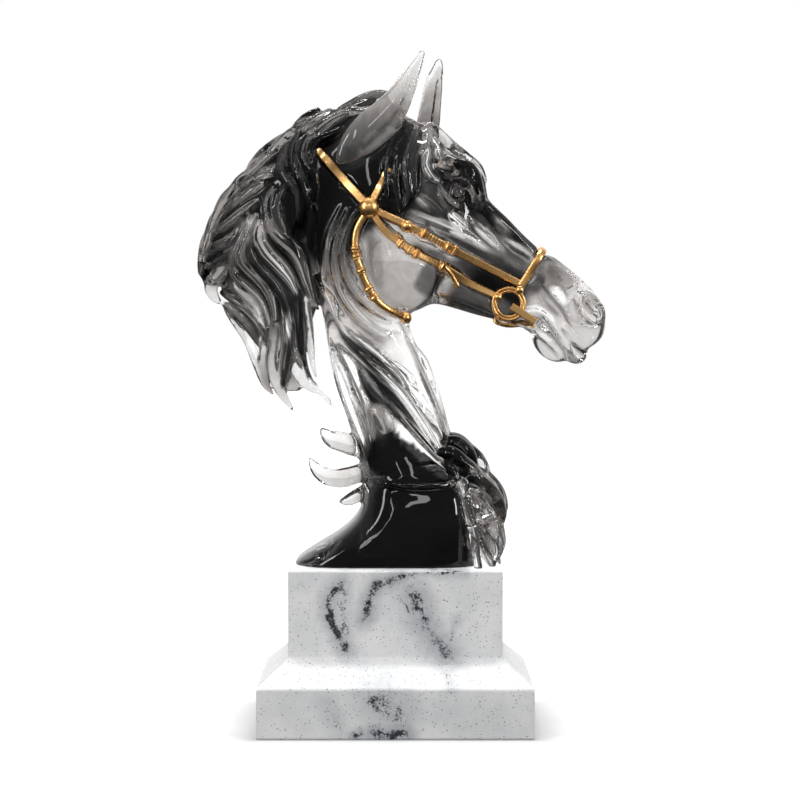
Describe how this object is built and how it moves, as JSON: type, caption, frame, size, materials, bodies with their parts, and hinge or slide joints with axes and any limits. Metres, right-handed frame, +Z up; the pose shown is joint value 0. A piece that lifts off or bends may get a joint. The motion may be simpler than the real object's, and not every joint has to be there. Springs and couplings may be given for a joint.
{
  "type": "resin horse head figurine",
  "caption": "Desk figurine of a horse's head and neck in smoky cast resin with a gilt bridle, standing on a stepped rectangular stone-look plinth.",
  "frame": {"origin": "centre of the plinth's underside", "axes": "+Z up, +X the way the horse looks, +Y to the horse's left"},
  "size_m": [0.2174, 0.12, 0.3599],
  "materials": {
    "resin": "high gloss, smoky grey to black, clear at the tips",
    "gilt": "satin gilt",
    "marble": "honed, fine dark specks and smoky veins"
  },
  "bodies": {
    "root": {"horse_bust": "resin", "bridle": "gilt", "plinth": "marble"}
  },
  "joints": []
}
